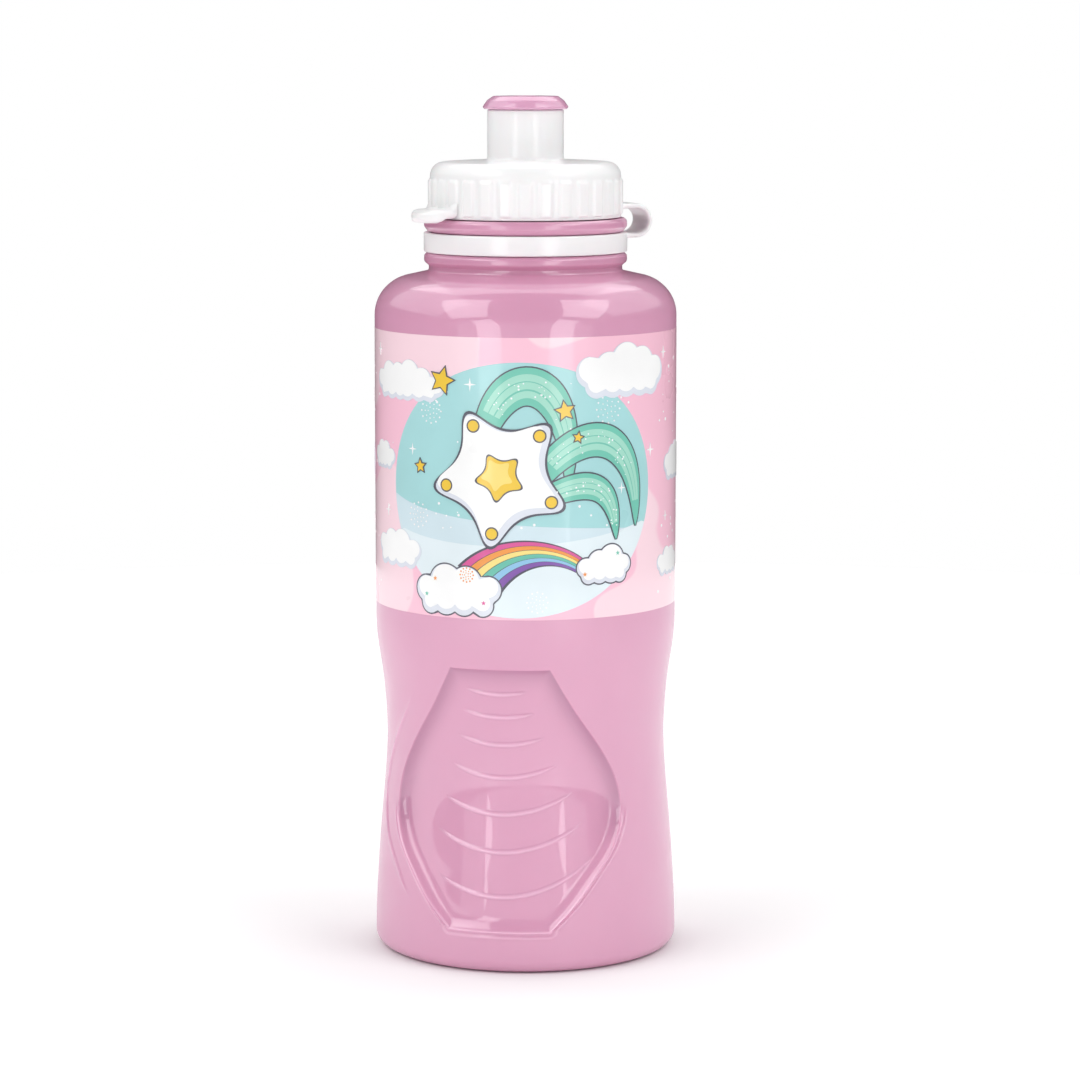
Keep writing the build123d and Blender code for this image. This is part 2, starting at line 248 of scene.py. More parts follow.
class Nodes:
    """Short forms for building one material's node tree."""

    def __init__(self, name):
        self.material = bpy.data.materials.new(name)
        self.material.use_nodes = True
        self.tree = self.material.node_tree
        self.shader = self.tree.nodes["Principled BSDF"]

    def add(self, kind, **values):
        node = self.tree.nodes.new(kind)
        for key, value in values.items():
            if hasattr(node, key):
                setattr(node, key, value)
            else:
                node.inputs[key.replace("_", " ")].default_value = value
        return node

    def link(self, source, socket, target, name):
        self.tree.links.new(source.outputs[socket], target.inputs[name])

    def set(self, **values):
        for key, value in values.items():
            self.shader.inputs[key.replace("_", " ")].default_value = value

    def noise(self, scale, detail=3.0, stretch=(1, 1, 1)):
        place = self.add("ShaderNodeTexCoord")
        mapping = self.add("ShaderNodeMapping")
        mapping.inputs["Scale"].default_value = stretch
        self.link(place, "Object", mapping, "Vector")
        noise = self.add("ShaderNodeTexNoise", Scale=scale, Detail=detail)
        self.link(mapping, "Vector", noise, "Vector")
        return noise

    def ramp(self, source, socket, stops):
        ramp = self.add("ShaderNodeValToRGB")
        while len(ramp.color_ramp.elements) < len(stops):
            ramp.color_ramp.elements.new(0.5)
        for element, (position, colour) in zip(ramp.color_ramp.elements, stops):
            element.position = position
            element.color = colour
        self.link(source, socket, ramp, "Fac")
        return ramp

    def bump(self, sources):
        """Bumps in a chain; sources are (node, socket, strength, distance in metres)."""
        normal = None
        for node, socket, strength, distance in sources:
            bump = self.add("ShaderNodeBump", Strength=strength, Distance=distance)
            self.link(node, socket, bump, "Height")
            if normal:
                self.link(normal, "Normal", bump, "Normal")
            normal = bump
        self.link(normal, "Normal", self.shader, "Normal")


def grey(value):
    return (value, value, value, 1.0)


MIX_FROM, MIX_TO, MIX_RESULT = 6, 7, 2      # the colour sockets of a Mix node


def moulded_plastic(name, colour, deeper, rough, coat, peel=0.06, painted_light_tones=()):
    """Moulded polyolefin: slight cloudiness in the colour, uneven gloss, fine orange peel, soft depth.

    The optional (attribute, colour) pairs are painted light: the mesh says where painted shade darkens a
    wall and where a painted highlight lightens a crest.
    """
    m = Nodes(name)
    cloud = m.noise(38, detail=4, stretch=(1, 1, 0.45))
    tint = m.ramp(cloud, "Fac", [(0.3, linear(*deeper)), (0.7, linear(*colour))])
    socket = "Color"
    # Each pair mixes in a colour of painted shade or painted highlight, as much as the mesh attribute
    # says.
    for attribute, painted_tone in painted_light_tones:
        where = m.add("ShaderNodeAttribute", attribute_name=attribute)
        mix = m.add("ShaderNodeMix", data_type="RGBA")
        m.link(where, "Fac", mix, "Factor")
        m.link(tint, socket, mix, MIX_FROM)
        mix.inputs[MIX_TO].default_value = linear(*painted_tone)
        tint, socket = mix, MIX_RESULT
    m.link(tint, socket, m.shader, "Base Color")
    patch = m.noise(75, detail=5)
    gloss = m.ramp(patch, "Fac", [(0.25, grey(rough - 0.05)), (0.8, grey(rough + 0.07))])
    m.link(gloss, "Color", m.shader, "Roughness")
    m.set(IOR=1.5, Specular_IOR_Level=0.35, Coat_Weight=coat, Coat_Roughness=0.028, Coat_IOR=1.95)
    m.set(Subsurface_Weight=0.15, Subsurface_Radius=(1.0, 0.55, 0.65), Subsurface_Scale=0.0007)
    fine = m.noise(1500, detail=2)
    wave = m.noise(190, detail=2, stretch=(1, 1, 0.5))
    m.bump([(wave, "Fac", peel, 0.0006), (fine, "Fac", peel * 1.5, 0.00006)])
    return m.material


def film(name, pattern, stops):
    """Glossy printed film, its colour from a noise pattern through the stops of a ramp."""
    m = Nodes(name)
    tint = m.ramp(m.noise(**pattern), "Fac", stops)
    m.link(tint, "Color", m.shader, "Base Color")
    gloss = m.ramp(m.noise(60), "Fac", [(0.3, grey(0.26)), (0.7, grey(0.35))])
    m.link(gloss, "Color", m.shader, "Roughness")
    m.set(IOR=1.5, Specular_IOR_Level=0.35, Coat_Weight=0.6, Coat_Roughness=0.06, Coat_IOR=1.5)
    wave = m.noise(150, detail=2, stretch=(1, 1, 0.5))
    m.bump([(wave, "Fac", 0.05, 0.0006)])
    return m.material


def printed(name, colour):
    """Ink on the film: a soft watercolour drift in the tint."""
    deeper = [c * 0.965 for c in colour]
    return film(name, {"scale": 45}, [(0.32, linear(*deeper)), (0.66, linear(*colour))])


# The darker wall colour is painted shade on the grip panels' upper walls; the lighter crest colour is a
# painted highlight on ribs, lips and the mould ridge.
PINK = moulded_plastic(
    "pink_polyethylene", (220, 160, 189), (216, 155, 185), rough=0.36, coat=0.5,
    painted_light_tones=[("wall_shade", (190, 134, 164)), ("crest", (238, 188, 213))],
)
PINK_TIP = moulded_plastic("pink_nozzle", (225, 168, 199), (221, 163, 195), rough=0.34, coat=0.5)
WHITE = moulded_plastic("white_polypropylene", (250, 249, 249), (247, 246, 247), rough=0.38, coat=0.25)
SOFT = moulded_plastic("soft_liner", (232, 230, 224), (224, 222, 214), rough=0.6, coat=0.0, peel=0.12)


def film_background():
    """Pale pink print with large soft-edged blotches of a lighter pink."""
    return film("film_pink", {"scale": 27, "detail": 1.2, "stretch": (1, 1, 1.25)}, [
        (0.0, linear(249, 194, 214)),
        (0.515, linear(249, 197, 216)),
        (0.522, linear(251, 218, 228)),
        (1.0, linear(252, 224, 232)),
    ])


# ---- Bottle shell --------------------------------------------------------------------------------

WAIST_Z0, WAIST_Z1 = 3.0, 74.0     # panels, beads and ridges stay between these heights
waist_radius = curve_through(
    [(3.0, BASE_R), (21.0, 32.5), (45.5, 30.65), (58.0, 31.2), (73.5, BODY_R)], level_ends=True,
)

GRIP_Z0, GRIP_Z1 = 9.6, 66.1
# Half width of a grip panel over its height, seen square on
grip_half_width = curve_through([
    (GRIP_Z0, 10.9), (14.5, 15.4), (20.3, 19.4), (26.5, 23.0), (33.5, 24.5), (41.0, 23.5), (48.0, 20.6),
    (57.6, 15.2), (GRIP_Z1, 10.9),
])
grip_depth = curve_through([
    (GRIP_Z0, 0.9), (22.0, 1.6), (33.0, 1.9), (46.0, 1.9), (60.0, 1.5), (GRIP_Z1, 1.2),
])
GRIP_FILLET = 2.6        # from the rim in to the level floor


def grip_half_angle(z):
    """Half angle that a panel takes up at height z, in degrees; above and below it stays the same."""
    z = min(max(z, GRIP_Z0), GRIP_Z1)
    return math.degrees(math.asin(grip_half_width(z) / waist_radius(z)))


def panel_recess(z, inside):
    """How far the shell is sunk at height z, this many millimetres inside the panel's side rim."""
    if not GRIP_Z0 < z < GRIP_Z1:
        return 0.0
    lean = grip_half_width(z + 0.5) - grip_half_width(z - 0.5)
    side = inside / math.sqrt(1 + lean * lean)
    near = min(side, z - GRIP_Z0, GRIP_Z1 - z)
    if near <= 0:
        return 0.0
    return grip_depth(z) * (1 - (1 - min(near / GRIP_FILLET, 1.0)) ** 2.4)


LIP_H = 0.42


def lip(z, outside):
    """Raised bead that follows a panel's lower rim, and a fainter one beside it."""
    low = smooth((35.0 - z) / 4.0)
    bead = math.exp(-((outside - 0.4) / 0.27) ** 2) + 0.6 * math.exp(-((outside - 1.6) / 0.3) ** 2)
    return LIP_H * low * bead


def mould_ridge(z, outside, side):
    """Fine ridge of the mould, outside one side of each panel."""
    if side > 0:
        return 0.0
    along = smooth((z - 13.0) / 6.0) * smooth((59.0 - z) / 8.0)
    return 0.32 * along * math.exp(-((outside - 7.3) / 0.4) ** 2)


IN_STEPS = [0.0, 0.1, 0.25, 0.45, 0.7, 1.0, 1.4, 1.9, 2.5, 3.2]
OUT_STEPS = [0.08, 0.25, 0.45, 0.65, 0.9, 1.2, 1.5, 1.75, 2.0, 2.3, 2.8]
RIDGE_STEPS = [6.5, 6.9, 7.1, 7.3, 7.5, 7.7, 8.1]
IN_COUNT = 26
OUT_COUNT = 12


def quarter_columns(z):
    """(degrees from the panel's centre, millimetres inside its rim), from centre to side seam."""
    radius = waist_radius(z)
    half = grip_half_angle(z)
    per_mm = math.degrees(1 / radius)
    width = half / per_mm
    columns = []
    for i in range(IN_COUNT):
        inside = width - (width - IN_STEPS[-1]) * i / IN_COUNT
        columns.append((half - inside * per_mm, inside))
    for step in reversed(IN_STEPS):
        columns.append((half - step * per_mm, step))
    quarter = (90 - half) / per_mm
    rest = spread(RIDGE_STEPS[-1], quarter, OUT_COUNT)[1:]
    for step in OUT_STEPS + spread(3.8, 5.6, 3) + RIDGE_STEPS + rest:
        columns.append((half + step * per_mm, -step))
    return columns


def lip_all(z, inside):
    """The bead along the side rims, and along the panel's flat foot."""
    below = max(GRIP_Z0 - z, 0.0)
    outside = max(-inside, 0.0)
    return lip(z, math.hypot(below, outside)) if below or outside else 0.0


def painted_wall_shade(z, inside):
    """Painted shade: 1 on the steep upper walls of a panel, 0 on its floor and round its foot."""
    if inside <= 0 or not GRIP_Z0 < z < GRIP_Z1:
        return 0.0
    near = min(inside, GRIP_Z1 - z)
    return smooth((z - 25.0) / 9.0) * math.exp(-(near / 2.6) ** 1.5) * smooth(near / 0.2)


def shell_ring(r, z, grow=0.0):
    """One ring of the shell with its amounts of painted highlight and painted shade. Columns follow the
    panels' rims, so the rims stay crisp.
    """
    ring, crest, wall_shade = [], [], []
    zone = min(max(z, GRIP_Z0 - 4), GRIP_Z1 + 6)
    columns = quarter_columns(zone)
    for half_turn in (0, 180):
        centre = GRIP_AZIMUTH + half_turn
        left = [(-offset, inside, -1) for offset, inside in reversed(columns[1:])]
        right = [(offset, inside, 1) for offset, inside in columns]
        both = left + right
        for offset, inside, side in both[1:]:
            raised = sunk = painted_tone = 0.0
            if WAIST_Z0 < z < WAIST_Z1:
                raised = lip_all(z, inside) + mould_ridge(z, -inside, side)
                sunk = panel_recess(z, inside)
                # Painted shade on the panel's steep upper walls.
                painted_tone = painted_wall_shade(z, inside)
            ring.append(at(r - sunk + raised - grow, centre + offset, z))
            # Painted highlight on the raised lips and the mould ridge.
            crest.append(min(raised / LIP_H, 1.0))
            wall_shade.append(painted_tone)
    return ring, crest, wall_shade


SHOULDER_X, SHOULDER_Z = 24.2, 139.5     # centre of the shoulder's arc
SHOULDER_R = 8.8
SHOULDER_ARC = math.radians(73)
THREAD_ROOT_R = 18.2
MOUTH_R = 16.7


def shell_profile():
    """(r, z) of the outside from the middle of the base to the rim."""
    out = [(0.6, 4.0), (6.0, 3.85), (12.0, 3.3), (18.0, 2.25), (23.0, 0.85)]
    out += rounded([(24.0, 0.5, 0), (25.2, 0.0, 0.8), (28.0, 0.0, 0)])
    for i in range(9):
        a = math.radians(-90 + 90 * i / 8)
        out.append((BASE_R - 3 + 3 * math.cos(a), 3 + 3 * math.sin(a)))
    near_foot = [-2.6, -2.0, -1.75, -1.5, -1.25, -1.0, -0.7, -0.5, -0.3, -0.12,
                 0, 0.15, 0.35, 0.6, 0.95, 1.4, 1.9]
    near_top = [-1.9, -1.4, -1.0, -0.65, -0.4, -0.2, -0.08,
                0, 0.15, 0.6, 1.3, 2.3, 3.6, 5.0, 6.3, 7.3]
    heights = [4.5, 6.0] + [GRIP_Z0 + d for d in near_foot]
    heights += spread(GRIP_Z0 + 2.4, GRIP_Z1 - 2.4, 116)
    heights += [GRIP_Z1 + d for d in near_top]
    out += [(waist_radius(z), z) for z in heights]
    seat_r = BODY_R - FILM_T
    out += [
        (BODY_R, 75.0), (BODY_R, 76.0), (BODY_R, LABEL_Z0), (seat_r, LABEL_Z0),
        (seat_r, (LABEL_Z0 + LABEL_Z1) / 2), (seat_r, LABEL_Z1), (BODY_R, LABEL_Z1),
        (BODY_R, LABEL_Z1 + 1),
    ]
    for a in spread(0, SHOULDER_ARC, 17):
        out.append((SHOULDER_X + SHOULDER_R * math.cos(a), SHOULDER_Z + SHOULDER_R * math.sin(a)))
    out += rounded([
        (26.0, 148.08, 0), (21.1, 149.2, 1.1),
        # Lower bead, groove for the ring, upper bead
        (21.1, 150.4, 0.25), (22.15, 151.3, 0.8), (22.1, 152.6, 0.7), (21.5, 153.2, 0.25),
        (20.6, 153.2, 0.1), (20.6, 157.75, 0.1),
        (21.3, 157.75, 0.3), (22.15, 158.9, 0.9), (22.1, 160.1, 0.7), (21.5, 160.65, 0.3),
        (THREAD_ROOT_R, 160.65, 0.4), (THREAD_ROOT_R, RIM_Z, 0.45), (MOUTH_R, RIM_Z, 0.45),
        (MOUTH_R, 168.0, 0),
    ])
    return out


def build_shell():
    outside = shell_profile()
    rings = [shell_ring(r, z) for r, z in outside]
    inner = [(MOUTH_R, 160.0), (19.3, 155.6), (19.3, 148.5), (26.3, 146.7)]
    inner_r = SHOULDER_R - WALL
    for a in spread(SHOULDER_ARC, 0, 7)[1:]:
        inner.append((SHOULDER_X + inner_r * math.cos(a), SHOULDER_Z + inner_r * math.sin(a)))
    inner += [(BODY_R - WALL - FILM_T, 110.0), (BODY_R - WALL - FILM_T, 76.0)]
    rings += [shell_ring(r, z) for r, z in inner]
    rings += [shell_ring(waist_radius(z), z, WALL) for z in spread(73.0, 4.0, 60)]
    inner_base = [(31.0, 1.9), (29.5, 1.2), (25.5, 1.2), (18.0, 3.5), (8.0, 4.9), (0.6, 5.2)]
    rings += [shell_ring(r, z) for r, z in inner_base]
    verts, faces = rings_to_mesh([ring for ring, _, _ in rings], False)
    count = len(rings[0][0])
    faces.append(tuple(range(count)))
    faces.append(tuple(reversed(range(len(verts) - count, len(verts)))))
    faces = [tuple(reversed(f)) for f in faces]
    # Per-vertex amounts of painted highlight on the crests and painted shade on the walls.
    painted_light_tones = {
        "crest": [value for _, crest, _ in rings for value in crest],
        "wall_shade": [value for _, _, wall_shade in rings for value in wall_shade],
    }
    shell = make_object(
        "bottle_shell", verts, faces, PINK, "bottle", sharp=40, painted_light_tones=painted_light_tones,
    )
    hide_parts("bottle_body")


# Ribs of a panel: height of the lowest point, and how far each runs to the left and to the right of it
GRIP_RIBS = [
    (60.4, -8.1, 5.9), (55.3, -9.3, 7.4), (49.2, -10.5, 9.7), (42.1, -12.1, 12.3),
    (34.2, -13.3, 15.7), (26.1, -14.9, 18.1), (16.5, -14.3, 19.7),
]
GRIP_RIB_R = 30.0
GRIP_RIB_H = 0.36


def floor_point(x, z, lift, half_turn):
    """Point on a grip panel's floor, x to the right of its middle, raised by lift."""
    r = waist_radius(z)
    offset = math.degrees(math.asin(x / r))
    inside = grip_half_width(z) - abs(x)
    return at(r - panel_recess(z, inside) + lift, GRIP_AZIMUTH + half_turn + offset, z)


def build_grip_ribs():
    """Thin smile-shaped ribs: a rounded ridge that swells from the floor and fades at both ends."""
    verts, faces, crest = [], [], []
    profile = [(-0.75, -0.05), (-0.6, 0.03), (-0.4, 0.42), (-0.2, 0.86), (0.0, 1.0),
               (0.2, 0.86), (0.4, 0.42), (0.6, 0.03), (0.75, -0.05)]
    for half_turn in (0, 180):
        for low, left, right in GRIP_RIBS:
            stations = []
            for u in spread(-1, 1, 41):
                t = math.asin((left + (right - left) * (u + 1) / 2) / GRIP_RIB_R)
                fade = 1 - abs(u) ** 4
                station = []
                for across, height in profile:
                    width = across * (0.35 + 0.65 * fade)
                    radius = GRIP_RIB_R + width
                    x = radius * math.sin(t)
                    z = low + GRIP_RIB_R - radius * math.cos(t)
                    station.append(floor_point(x, z, GRIP_RIB_H * height * fade, half_turn))
                rise = GRIP_RIB_R * (1 - math.cos(t))
                station.append(floor_point(GRIP_RIB_R * math.sin(t), low + rise, -0.4, half_turn))
                stations.append(station)
                # Painted highlight along each rib's top, fading towards its ends.
                crest += [max(height, 0.0) * fade * 0.85 for _, height in profile] + [0.0]
            rib_verts, rib_faces = capped(stations, len(verts))
            verts += rib_verts
            faces += rib_faces
    painted_light_tones = {"crest": crest, "wall_shade": [0.0] * len(crest)}
    make_object("grip_ribs", verts, faces, PINK, "bottle", sharp=60, painted_light_tones=painted_light_tones)


THREAD_Z = 162.6
THREAD_FADE = 0.06       # share of the thread's length in which it rises, and falls again


def helical_ridge(name, root_r, direction, start_azimuth, material, body):
    """Screw ridge with run-in and run-out, single start, right hand; direction -1 points inwards."""
    pitch, turns, depth = 4.0, 1.25, 1.2
    section = [(-0.3, -1.0), (0.15, -0.95), (0.95, -0.52), (1.0, -0.42),
               (1.0, 0.42), (0.95, 0.52), (0.15, 0.95), (-0.3, 1.0)]
    stations = []
    for t in spread(0, 1, 151):
        fade = smooth(t / THREAD_FADE) * smooth((1 - t) / THREAD_FADE)
        azimuth = start_azimuth + 360 * turns * t
        z = THREAD_Z + pitch * turns * t
        ring = []
        for out, up in section:
            rise = out * depth * (fade if out > 0 else 1.0)
            ring.append(at(root_r + direction * rise, azimuth, z + up))
        if direction < 0:
            ring.reverse()
        stations.append(ring)
    swept(name, stations, material, body)


# ---- Cap, ring, strap, nozzle, liner -------------------------------------------------------------

CAP_R = 20.8
CAP_BORE_R = 19.7
CAP_RIBS = 30
CAP_RIB_H = 0.45
CAP_CORNER_R = 3.0
CAP_CORNER_X, CAP_CORNER_Z = 17.78, 169.8
CEILING_Z = 171.3
TUBE_R, TUBE_Z1 = 8.3, 184.05
TUBE_BORE_R, TUBE_LIP_R = 7.3, 7.05


def cap_flutes(r, azimuth, z):
    """Thirty broad rounded ribs on the skirt, with narrow valleys, fading at both ends."""
    if abs(r - CAP_R) > 0.02:
        return r
    along = smooth((z - 161.35) / 0.5) * smooth((169.5 - z) / 0.9)
    wave = 0.5 + 0.5 * math.cos(math.radians(azimuth * CAP_RIBS))
    crest = smooth(min(wave / 0.62, 1.0))
    return r + CAP_RIB_H * along * crest


def build_cap():
    heights = [161.2, 161.4, 161.55, 161.7, 161.9, 162.2] + spread(163.0, 168.4, 8)
    heights += [168.7, 168.95, 169.2, 169.4, 169.6]
    profile = [(CAP_R, z) for z in heights]
    for a in spread(0, math.radians(89), 13):
        r, z = CAP_CORNER_X + CAP_CORNER_R * math.cos(a), CAP_CORNER_Z + CAP_CORNER_R * math.sin(a)
        profile.append((r, z))
    profile += [(15.0, 172.98), (12.0, 173.12)]
    profile += rounded([
        (10.5, 173.18, 0), (TUBE_R, 173.2, 0.75), (TUBE_R, TUBE_Z1, 0.35), (TUBE_LIP_R, TUBE_Z1, 0.25),
        (TUBE_LIP_R, 182.2, 0.15), (TUBE_BORE_R, 181.9, 0.15), (TUBE_BORE_R, CEILING_Z, 0.2),
        (CAP_BORE_R, CEILING_Z, 0.5), (CAP_BORE_R, CAP_Z0, 0.25),
        (CAP_R - 0.01, CAP_Z0, 0.3), (CAP_R - 0.005, 161.2, 0),
    ])
    profile.pop()
    profile.reverse()
    cap = lathe("cap_shell", profile, WHITE, "cap", segments=600, shape=cap_flutes)
    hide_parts("screw_cap")


def beside(azimuth, reach, across, z):
    """Point at a reach from the axis along an azimuth in radians, then across to the right of it."""
    c, s = math.cos(azimuth), math.sin(azimuth)
    return (reach * s + across * c, -reach * c + across * s, z)


TAB_AZIMUTH = math.radians(-62.0)
TAB_REACHES = [20.2, 20.9, 21.3, 21.8, 22.4, 23.1, 23.9, 24.7, 25.3, 25.8, 26.1, 26.3, 26.38]


def build_tab():
    """Thumb tab: a rounded wing that leaves the skirt with a concave crease and droops a little."""
    stations = []
    for reach in TAB_REACHES:
        out = (reach - TAB_REACHES[0]) / 6.2
        half = 6.9 * math.sqrt(max(1 - (out * 0.985) ** 3.2, 0.02))
        top = 162.95 + 0.5 * math.exp(-(reach - 20.8) / 0.4) - 0.8 * smooth((reach - 24.2) / 2.2)
        droop = 0.85 * smooth((reach - 22.45) / 1.2) if reach >= 22.5 else 0.0
        low = 160.9 - droop + smooth((reach - 25.3) / 1.1)
        ring = []
        for k in range(28):
            a = TAU * k / 28
            c, s = math.cos(a), math.sin(a)
            across = half * math.copysign(abs(c) ** 0.42, c)
            up = (top + low) / 2 + (top - low) / 2 * math.copysign(abs(s) ** 0.55, s)
            ring.append(beside(TAB_AZIMUTH, reach, across, up))
        stations.append(ring)
    swept("thumb_tab", stations, WHITE, "cap", sharp=60)


STRAP_AZIMUTH = math.radians(110.0)
STRAP_W = 10.0
STRAP_T = 1.15
STRAP_BEND_R = 3.2
STRAP_BEND_X = 24.2


def build_strap():
    """Bent band from the neck ring to the cap, with rounded edges and flared roots."""
    bend_z = (STRAP_Z0 + STRAP_Z1) / 2
    path = [(RING_R - 1.0, bend_z - STRAP_BEND_R, 0.0, 1.0)]
    path += [(x, bend_z - STRAP_BEND_R, 0.0, 1.0) for x in spread(RING_R - 0.2, STRAP_BEND_X, 4)]
    for i in range(1, 28):
        a = math.radians(-90 + 180 * i / 28)
        path.append((STRAP_BEND_X + STRAP_BEND_R * math.cos(a), bend_z + STRAP_BEND_R * math.sin(a),
                     -math.cos(a), -math.sin(a)))
    path += [(x, bend_z + STRAP_BEND_R, 0.0, -1.0) for x in spread(STRAP_BEND_X, CAP_R + 0.3, 5)]
    path += [(CAP_R - 0.7, bend_z + STRAP_BEND_R, 0.0, -1.0)]
    stations = []
    for i, (out, z, nx, nz) in enumerate(path):
        end = min(i, len(path) - 1 - i)
        flare = 1.0 + 0.35 * max(0, 2 - end) / 2
        ring = []
        for k in range(24):
            t = TAU * k / 24
            c, s = math.cos(t), math.sin(t)
            across = STRAP_W / 2 * (1 + 0.06 * (flare - 1)) * math.copysign(abs(c) ** 0.25, c)
            thick = STRAP_T / 2 * flare * math.copysign(abs(s) ** 0.6, s)
            ring.append(beside(STRAP_AZIMUTH, out + nx * thick, across, z + nz * thick))
        stations.append(ring)
    strap = swept("tether_band", stations, WHITE, None, sharp=60)
    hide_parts("tether_strap")
    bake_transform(strap)


RING_BORE_R = 20.85


def build_ring():
    mid = (RING_Z0 + RING_Z1) / 2
    profile = rounded([
        (RING_R, mid, 0), (RING_R, RING_Z1, 0.4), (RING_BORE_R, RING_Z1, 0.25),
        (RING_BORE_R, RING_Z0, 0.25), (RING_R, RING_Z0, 0.4), (RING_R, mid - 0.5, 0),
    ])
    ring = lathe("tether_ring", profile, WHITE, "tether")
    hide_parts("neck_ring")


STEM_R, STEM_BORE_R, STEM_BEAD_R = 6.9, 5.6, 7.2
HOLE_R = 2.6
HEAD_Z0 = 184.15         # underside of the mouthpiece's head


def build_nozzle():
    top, low = NOZZLE_Z1, HEAD_Z0
    profile = rounded([
        (4.5, top, 0), (HOLE_R, top, 0.45), (HOLE_R, low + 0.6, 0.2),
        (STEM_BORE_R, low, 0.3), (STEM_BORE_R, NOZZLE_Z0, 0.2), (STEM_R, NOZZLE_Z0, 0.2),
        (STEM_BEAD_R, NOZZLE_Z0 + 0.8, 0.3), (STEM_BEAD_R, 175.45, 0.3), (STEM_R, 175.85, 0.2),
        (STEM_R, low, 0.2), (8.95, low, 0.2), (NOZZLE_R, low + 0.45, 0.3), (8.35, low + 1.9, 1.5),
        (7.05, top - 0.05, 0.9), (5.0, top, 0),
    ], steps=7)
    nozzle = lathe("mouthpiece", profile, PINK_TIP, "nozzle")
    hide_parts("pull_nozzle")


POST_Z0, POST_Z1 = 169.9, 186.4
SPOKE_Z1 = 171.7
SPOKE_HALF = 0.8         # half of a spoke's width


def build_post():
    """Plug post with its three spokes under the cap's roof."""
    profile = rounded([
        (0.15, POST_Z0, 0), (3.2, POST_Z0, 0.3), (3.2, 176.0, 1.0), (2.5, 182.4, 1.0),
        (2.5, POST_Z1, 0.5), (0.15, POST_Z1, 0),
    ])
    profile.reverse()
    lathe("plug_post", profile, WHITE, "cap", segments=64)
    section = rounded([
        (0, POST_Z0, 0), (SPOKE_HALF, POST_Z0, 0.25), (SPOKE_HALF, SPOKE_Z1, 0.35),
        (-SPOKE_HALF, SPOKE_Z1, 0.35), (-SPOKE_HALF, POST_Z0, 0.25), (-0.01, POST_Z0, 0),
    ], 3)
    verts, faces = [], []
    for azimuth in (90, 210, 330):
        stations = []
        for reach in (2.0, 5.0, 9.4):
            a = math.radians(azimuth)
            stations.append([beside(a, reach, across, z) for across, z in section])
        spoke_verts, spoke_faces = capped(stations, len(verts))
        verts += spoke_verts
        faces += spoke_faces
    make_object("post_spokes", verts, faces, WHITE, "cap", sharp=50)


LINER_BORE_R = 16.5


def build_liner():
    profile = rounded([
        (17.9, LINER_Z1, 0), (LINER_BORE_R, LINER_Z1, 0.2), (LINER_BORE_R, LINER_Z0, 0.25),
        (LINER_R, LINER_Z0, 0.25), (LINER_R, LINER_Z1, 0.2), (18.0, LINER_Z1, 0),
    ])
    liner = lathe("sealing_ring", profile, SOFT, "cap")
    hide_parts("cap_liner")


build_shell()
build_grip_ribs()
helical_ridge("neck_thread", THREAD_ROOT_R, 1, 90, PINK, "bottle")
helical_ridge("cap_thread", CAP_BORE_R, -1, 270, WHITE, "cap")
build_cap()
build_tab()
build_post()
build_strap()
build_ring()
build_nozzle()
build_liner()

# ---- Printed label -------------------------------------------------------------------------------
# Artwork is drawn on the unrolled film: s runs round the bottle from -Y towards +X and z is the height,
# both in mm.

LAYER = 0.012            # each printed layer stands this much above the one below
COLUMN = 1.2             # widest strip of film between two bends round the bottle
LAP = math.pi * BODY_R   # from the middle of the front to the middle of the back


def skin(name, outlines, material, layer):
    """Printed shapes as one thin closed skin wrapped round the bottle."""
    bm = bmesh.new()
    for outline in outlines:
        corners = [bm.verts.new((s, z, 0)) for s, z in outline]
        for triangle in tessellate_polygon([[Vector((s, z, 0)) for s, z in outline]]):
            if len({*triangle}) == 3:
                bm.faces.new([corners[i] for i in triangle])
    low = min(s for outline in outlines for s, _ in outline)
    high = max(s for outline in outlines for s, _ in outline)
    for k in range(math.ceil(low / COLUMN), math.floor(high / COLUMN) + 1):
        geometry = bm.verts[:] + bm.edges[:] + bm.faces[:]
        bmesh.ops.bisect_plane(
            bm, geom=geometry, dist=1e-5, plane_co=(k * COLUMN, 0, 0), plane_no=(1, 0, 0),
        )
    flat = bm.verts[:]
    bmesh.ops.extrude_face_region(bm, geom=bm.faces[:], use_keep_orig=True)
    for vert in flat:
        vert.co.z = -0.01
    kept = set(flat)
    for vert in bm.verts:
        if vert not in kept:
            vert.co.z = LAYER * layer
    bmesh.ops.recalc_face_normals(bm, faces=bm.faces[:])
    for vert in bm.verts:
        s, z, lift = vert.co
        vert.co = at(BODY_R + lift, math.degrees(s / BODY_R), z)
    mesh = bpy.data.meshes.new(name)
    bm.to_mesh(mesh)
    bm.free()
    verts = [tuple(v.co) for v in mesh.vertices]
    faces = [tuple(p.vertices) for p in mesh.polygons]
    bpy.data.meshes.remove(mesh)
    make_object(name, verts, faces, material, "bottle", sharp=20)


def ellipse(s, z, half_s, half_z, count=96):
    turns = [TAU * k / count for k in range(count)]
    return [(s + half_s * math.cos(a), z + half_z * math.sin(a)) for a in turns]


def puffs(s, z, lumps, grow=0.0, count=110):
    """Cloud outline: the far side of a set of overlapping round lumps, seen from the cloud's middle."""
    outline = []
    for k in range(count):
        a = TAU * k / count
        c, d = math.cos(a), math.sin(a)
        reach = 0.2
        for ls, lz, lr in lumps:
            along = ls * c + lz * d
            gap = (lr + grow) ** 2 - (ls * ls + lz * lz - along * along)
            if gap > 0:
                reach = max(reach, along + math.sqrt(gap))
        outline.append((s + reach * c, z + reach * d))
    return outline


